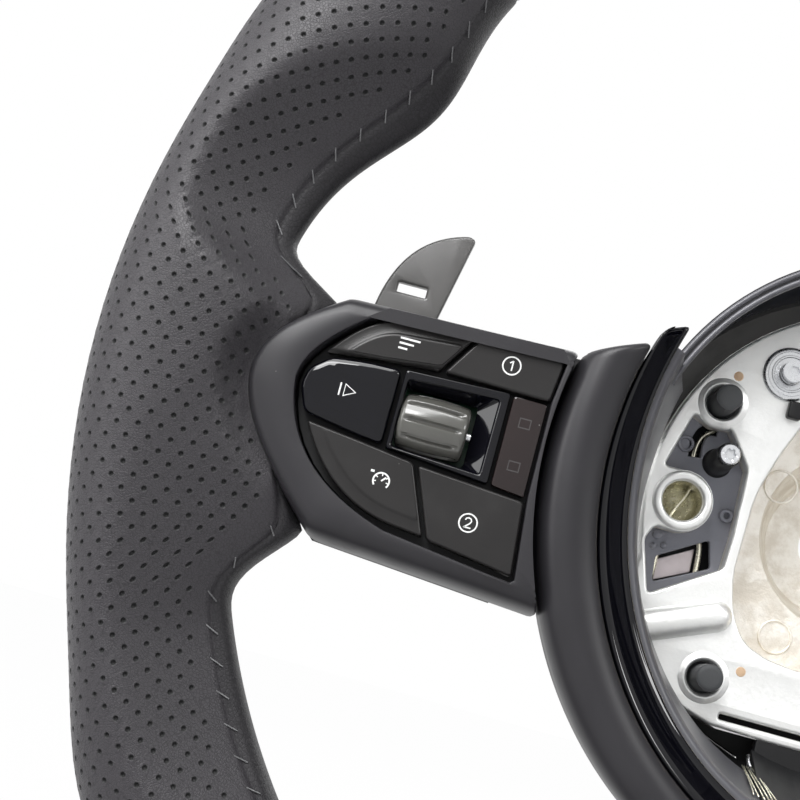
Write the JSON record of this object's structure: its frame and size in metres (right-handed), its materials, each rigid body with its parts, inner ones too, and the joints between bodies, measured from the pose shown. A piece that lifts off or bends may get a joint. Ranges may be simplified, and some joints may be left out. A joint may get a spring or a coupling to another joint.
{
  "type": "car steering wheel",
  "caption": "Three-spoke sport steering wheel with contoured perforated leather rim, switch packs, shift paddles and an open airbag recess over the cast hub.",
  "frame": {"origin": "centre of the hub bore at the hub's rear face", "axes": "+Y along the column away from the driver, +Z to 12 o'clock, +X to the driver's right"},
  "size_m": [0.37, 0.1128, 0.37],
  "materials": {
    "cast_metal": "die cast, lightly blasted",
    "foam": "moulded polyurethane foam",
    "perforated_leather": "perforated, semi matte",
    "smooth_leather": "smooth, fine grain",
    "matte_trim": "soft-touch matte",
    "gloss_trim": "piano black",
    "satin_keys": "fine spark-eroded grain",
    "shroud_grey": "satin grey moulding",
    "housing_plastic": "moulded",
    "contact_plastic": "glass-filled moulding",
    "board": "solder mask",
    "buffer_rubber": "matte",
    "plated_steel": "zinc plated",
    "spring_wire": "drawn wire",
    "paddle_finish": "satin grey with a darker edge"
  },
  "bodies": {
    "wheel": {"armature": "cast_metal", "rim_foam": "foam", "leather_left": "perforated_leather", "leather_right": "perforated_leather", "leather_top": "smooth_leather", "leather_bottom": "smooth_leather", "spoke_cover_left": "matte_trim", "spoke_cover_right": "matte_trim", "spoke_back_left": "matte_trim", "spoke_back_right": "matte_trim", "lower_spoke_cover": "matte_trim", "lower_spoke_back": "matte_trim", "bezel_matte": "matte_trim", "bezel_gloss": "gloss_trim", "bezel_carrier": "matte_trim", "hub_shroud": "shroud_grey", "lower_tray": "housing_plastic", "bezel_back": "matte_trim", "rear_cover": "matte_trim", "switch_housing_left": "housing_plastic", "switch_housing_right": "housing_plastic", "switch_board_left": "board", "switch_board_right": "board", "roller_frame_left": "gloss_trim", "roller_frame_right": "gloss_trim", "roller_axle_left": "plated_steel", "roller_axle_right": "plated_steel", "contact_plate_left": "contact_plastic", "contact_plate_right": "contact_plastic", "retaining_spring_left": "spring_wire", "retaining_spring_right": "spring_wire", "buffers": "buffer_rubber", "plated_discs": "plated_steel", "screws": "plated_steel", "lower_clip": "plated_steel", "paddle_bracket_left": "housing_plastic", "paddle_bracket_right": "housing_plastic", "paddle_pin_left": "plated_steel", "paddle_pin_right": "plated_steel"},
    "key_upper_outer_left": {"key_upper_outer_left": "satin_keys"},
    "key_upper_inner_left": {"key_upper_inner_left": "satin_keys"},
    "key_lower_outer_left": {"key_lower_outer_left": "satin_keys"},
    "key_lower_inner_left": {"key_lower_inner_left": "satin_keys"},
    "key_resume_left": {"key_resume_left": "gloss_trim"},
    "key_rocker_left": {"key_rocker_left": "gloss_trim"},
    "roller_left": {"roller_left": "satin_keys"},
    "paddle_left": {"paddle_left": "paddle_finish"},
    "key_upper_outer_right": {"key_upper_outer_right": "satin_keys"},
    "key_upper_inner_right": {"key_upper_inner_right": "satin_keys"},
    "key_lower_outer_right": {"key_lower_outer_right": "satin_keys"},
    "key_lower_inner_right": {"key_lower_inner_right": "satin_keys"},
    "key_resume_right": {"key_resume_right": "gloss_trim"},
    "key_rocker_right": {"key_rocker_right": "gloss_trim"},
    "roller_right": {"roller_right": "satin_keys"},
    "paddle_right": {"paddle_right": "paddle_finish"}
  },
  "joints": [
    {"name": "upper_outer_press_left", "type": "slide", "parent": "wheel", "child": "key_upper_outer_left", "axis": [0, 1, 0], "range_m": [0, 0.0012], "stiffness_N_per_m": 1500},
    {"name": "upper_inner_press_left", "type": "slide", "parent": "wheel", "child": "key_upper_inner_left", "axis": [0, 1, 0], "range_m": [0, 0.0012], "stiffness_N_per_m": 1500},
    {"name": "lower_outer_press_left", "type": "slide", "parent": "wheel", "child": "key_lower_outer_left", "axis": [0, 1, 0], "range_m": [0, 0.0012], "stiffness_N_per_m": 1500},
    {"name": "lower_inner_press_left", "type": "slide", "parent": "wheel", "child": "key_lower_inner_left", "axis": [0, 1, 0], "range_m": [0, 0.0012], "stiffness_N_per_m": 1500},
    {"name": "resume_press_left", "type": "slide", "parent": "wheel", "child": "key_resume_left", "axis": [0, 1, 0], "range_m": [0, 0.0012], "stiffness_N_per_m": 1500},
    {"name": "rocker_tilt_left", "type": "hinge", "parent": "wheel", "child": "key_rocker_left", "pos_m": [-0.0878, -0.0996, -0.0071], "axis": [1, 0, 0], "range_deg": [-3, 3], "stiffness_Nm_per_rad": 0.2},
    {"name": "roller_turn_left", "type": "hinge", "parent": "wheel", "child": "roller_left", "pos_m": [-0.1068, -0.101, -0.0074], "axis": [1, 0, 0], "range_deg": [-20, 20], "stiffness_Nm_per_rad": 0.02},
    {"name": "paddle_pull_left", "type": "hinge", "parent": "wheel", "child": "paddle_left", "pos_m": [-0.082, -0.068, -0.004], "axis": [0, 0, 1], "range_deg": [0, 5], "stiffness_Nm_per_rad": 3},
    {"name": "upper_outer_press_right", "type": "slide", "parent": "wheel", "child": "key_upper_outer_right", "axis": [0, 1, 0], "range_m": [0, 0.0012], "stiffness_N_per_m": 1500},
    {"name": "upper_inner_press_right", "type": "slide", "parent": "wheel", "child": "key_upper_inner_right", "axis": [0, 1, 0], "range_m": [0, 0.0012], "stiffness_N_per_m": 1500},
    {"name": "lower_outer_press_right", "type": "slide", "parent": "wheel", "child": "key_lower_outer_right", "axis": [0, 1, 0], "range_m": [0, 0.0012], "stiffness_N_per_m": 1500},
    {"name": "lower_inner_press_right", "type": "slide", "parent": "wheel", "child": "key_lower_inner_right", "axis": [0, 1, 0], "range_m": [0, 0.0012], "stiffness_N_per_m": 1500},
    {"name": "resume_press_right", "type": "slide", "parent": "wheel", "child": "key_resume_right", "axis": [0, 1, 0], "range_m": [0, 0.0012], "stiffness_N_per_m": 1500},
    {"name": "rocker_tilt_right", "type": "hinge", "parent": "wheel", "child": "key_rocker_right", "pos_m": [0.0878, -0.0996, -0.0071], "axis": [1, 0, 0], "range_deg": [-3, 3], "stiffness_Nm_per_rad": 0.2},
    {"name": "roller_turn_right", "type": "hinge", "parent": "wheel", "child": "roller_right", "pos_m": [0.1068, -0.101, -0.0074], "axis": [1, 0, 0], "continuous": true},
    {"name": "paddle_pull_right", "type": "hinge", "parent": "wheel", "child": "paddle_right", "pos_m": [0.082, -0.068, -0.004], "axis": [0, 0, -1], "range_deg": [0, 5], "stiffness_Nm_per_rad": 3}
  ]
}
